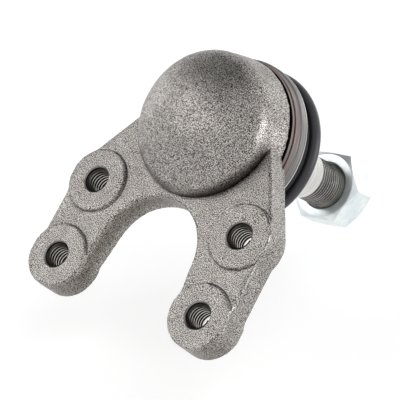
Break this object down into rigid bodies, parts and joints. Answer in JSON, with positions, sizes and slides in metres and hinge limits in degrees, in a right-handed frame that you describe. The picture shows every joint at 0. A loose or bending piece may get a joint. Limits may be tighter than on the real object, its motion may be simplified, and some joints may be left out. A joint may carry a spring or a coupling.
{
  "type": "suspension ball joint",
  "caption": "Bolt-on suspension ball joint: forged fork plate with a domed cup, tapered ball stud with a hex nut, and a rubber dust boot.",
  "frame": {"origin": "centre of the four tapped holes, on the faces of their bosses", "axes": "+Z out of the boss faces, away from the stud; +Y from the legs to the cup; X across the two legs"},
  "size_m": [0.0944, 0.1118, 0.1202],
  "materials": {
    "forged_steel": "shot-blasted forging",
    "seat_plastic": "moulded acetal",
    "spring_steel": "oiled spring steel",
    "plate_steel": "pressed steel",
    "ground_steel": "ground and polished steel",
    "oxidised_steel": "flat wire with a brown oxide tint",
    "turned_steel": "turned steel",
    "boot_rubber": "moulded chloroprene rubber",
    "zinc_plate": "bright zinc plate"
  },
  "bodies": {
    "housing": {"housing": "forged_steel", "closing_plate": "plate_steel", "preload_spring": "spring_steel", "retaining_ring": "oxidised_steel", "boot_ring": "turned_steel", "dust_boot": "boot_rubber"},
    "ball_seat": {"upper_ball_seat": "seat_plastic", "lower_ball_seat": "seat_plastic"},
    "swing": {"boot_lip_ring": "spring_steel"},
    "stud": {"ball_stud": "ground_steel", "stud_nut": "zinc_plate"}
  },
  "joints": [
    {"name": "seat_turn", "type": "hinge", "parent": "housing", "child": "ball_seat", "pos_m": [0, 0.05086, -0.00988], "axis": [0, -0.1564, 0.9877], "continuous": true},
    {"name": "stud_swing", "type": "hinge", "parent": "ball_seat", "child": "swing", "pos_m": [0, 0.05086, -0.00988], "axis": [1, 0, 0], "range_deg": [-20, 20], "deforming": ["dust_boot"]},
    {"name": "stud_spin", "type": "hinge", "parent": "swing", "child": "stud", "pos_m": [0, 0.05086, -0.00988], "axis": [0, 0.1564, -0.9877], "continuous": true}
  ]
}
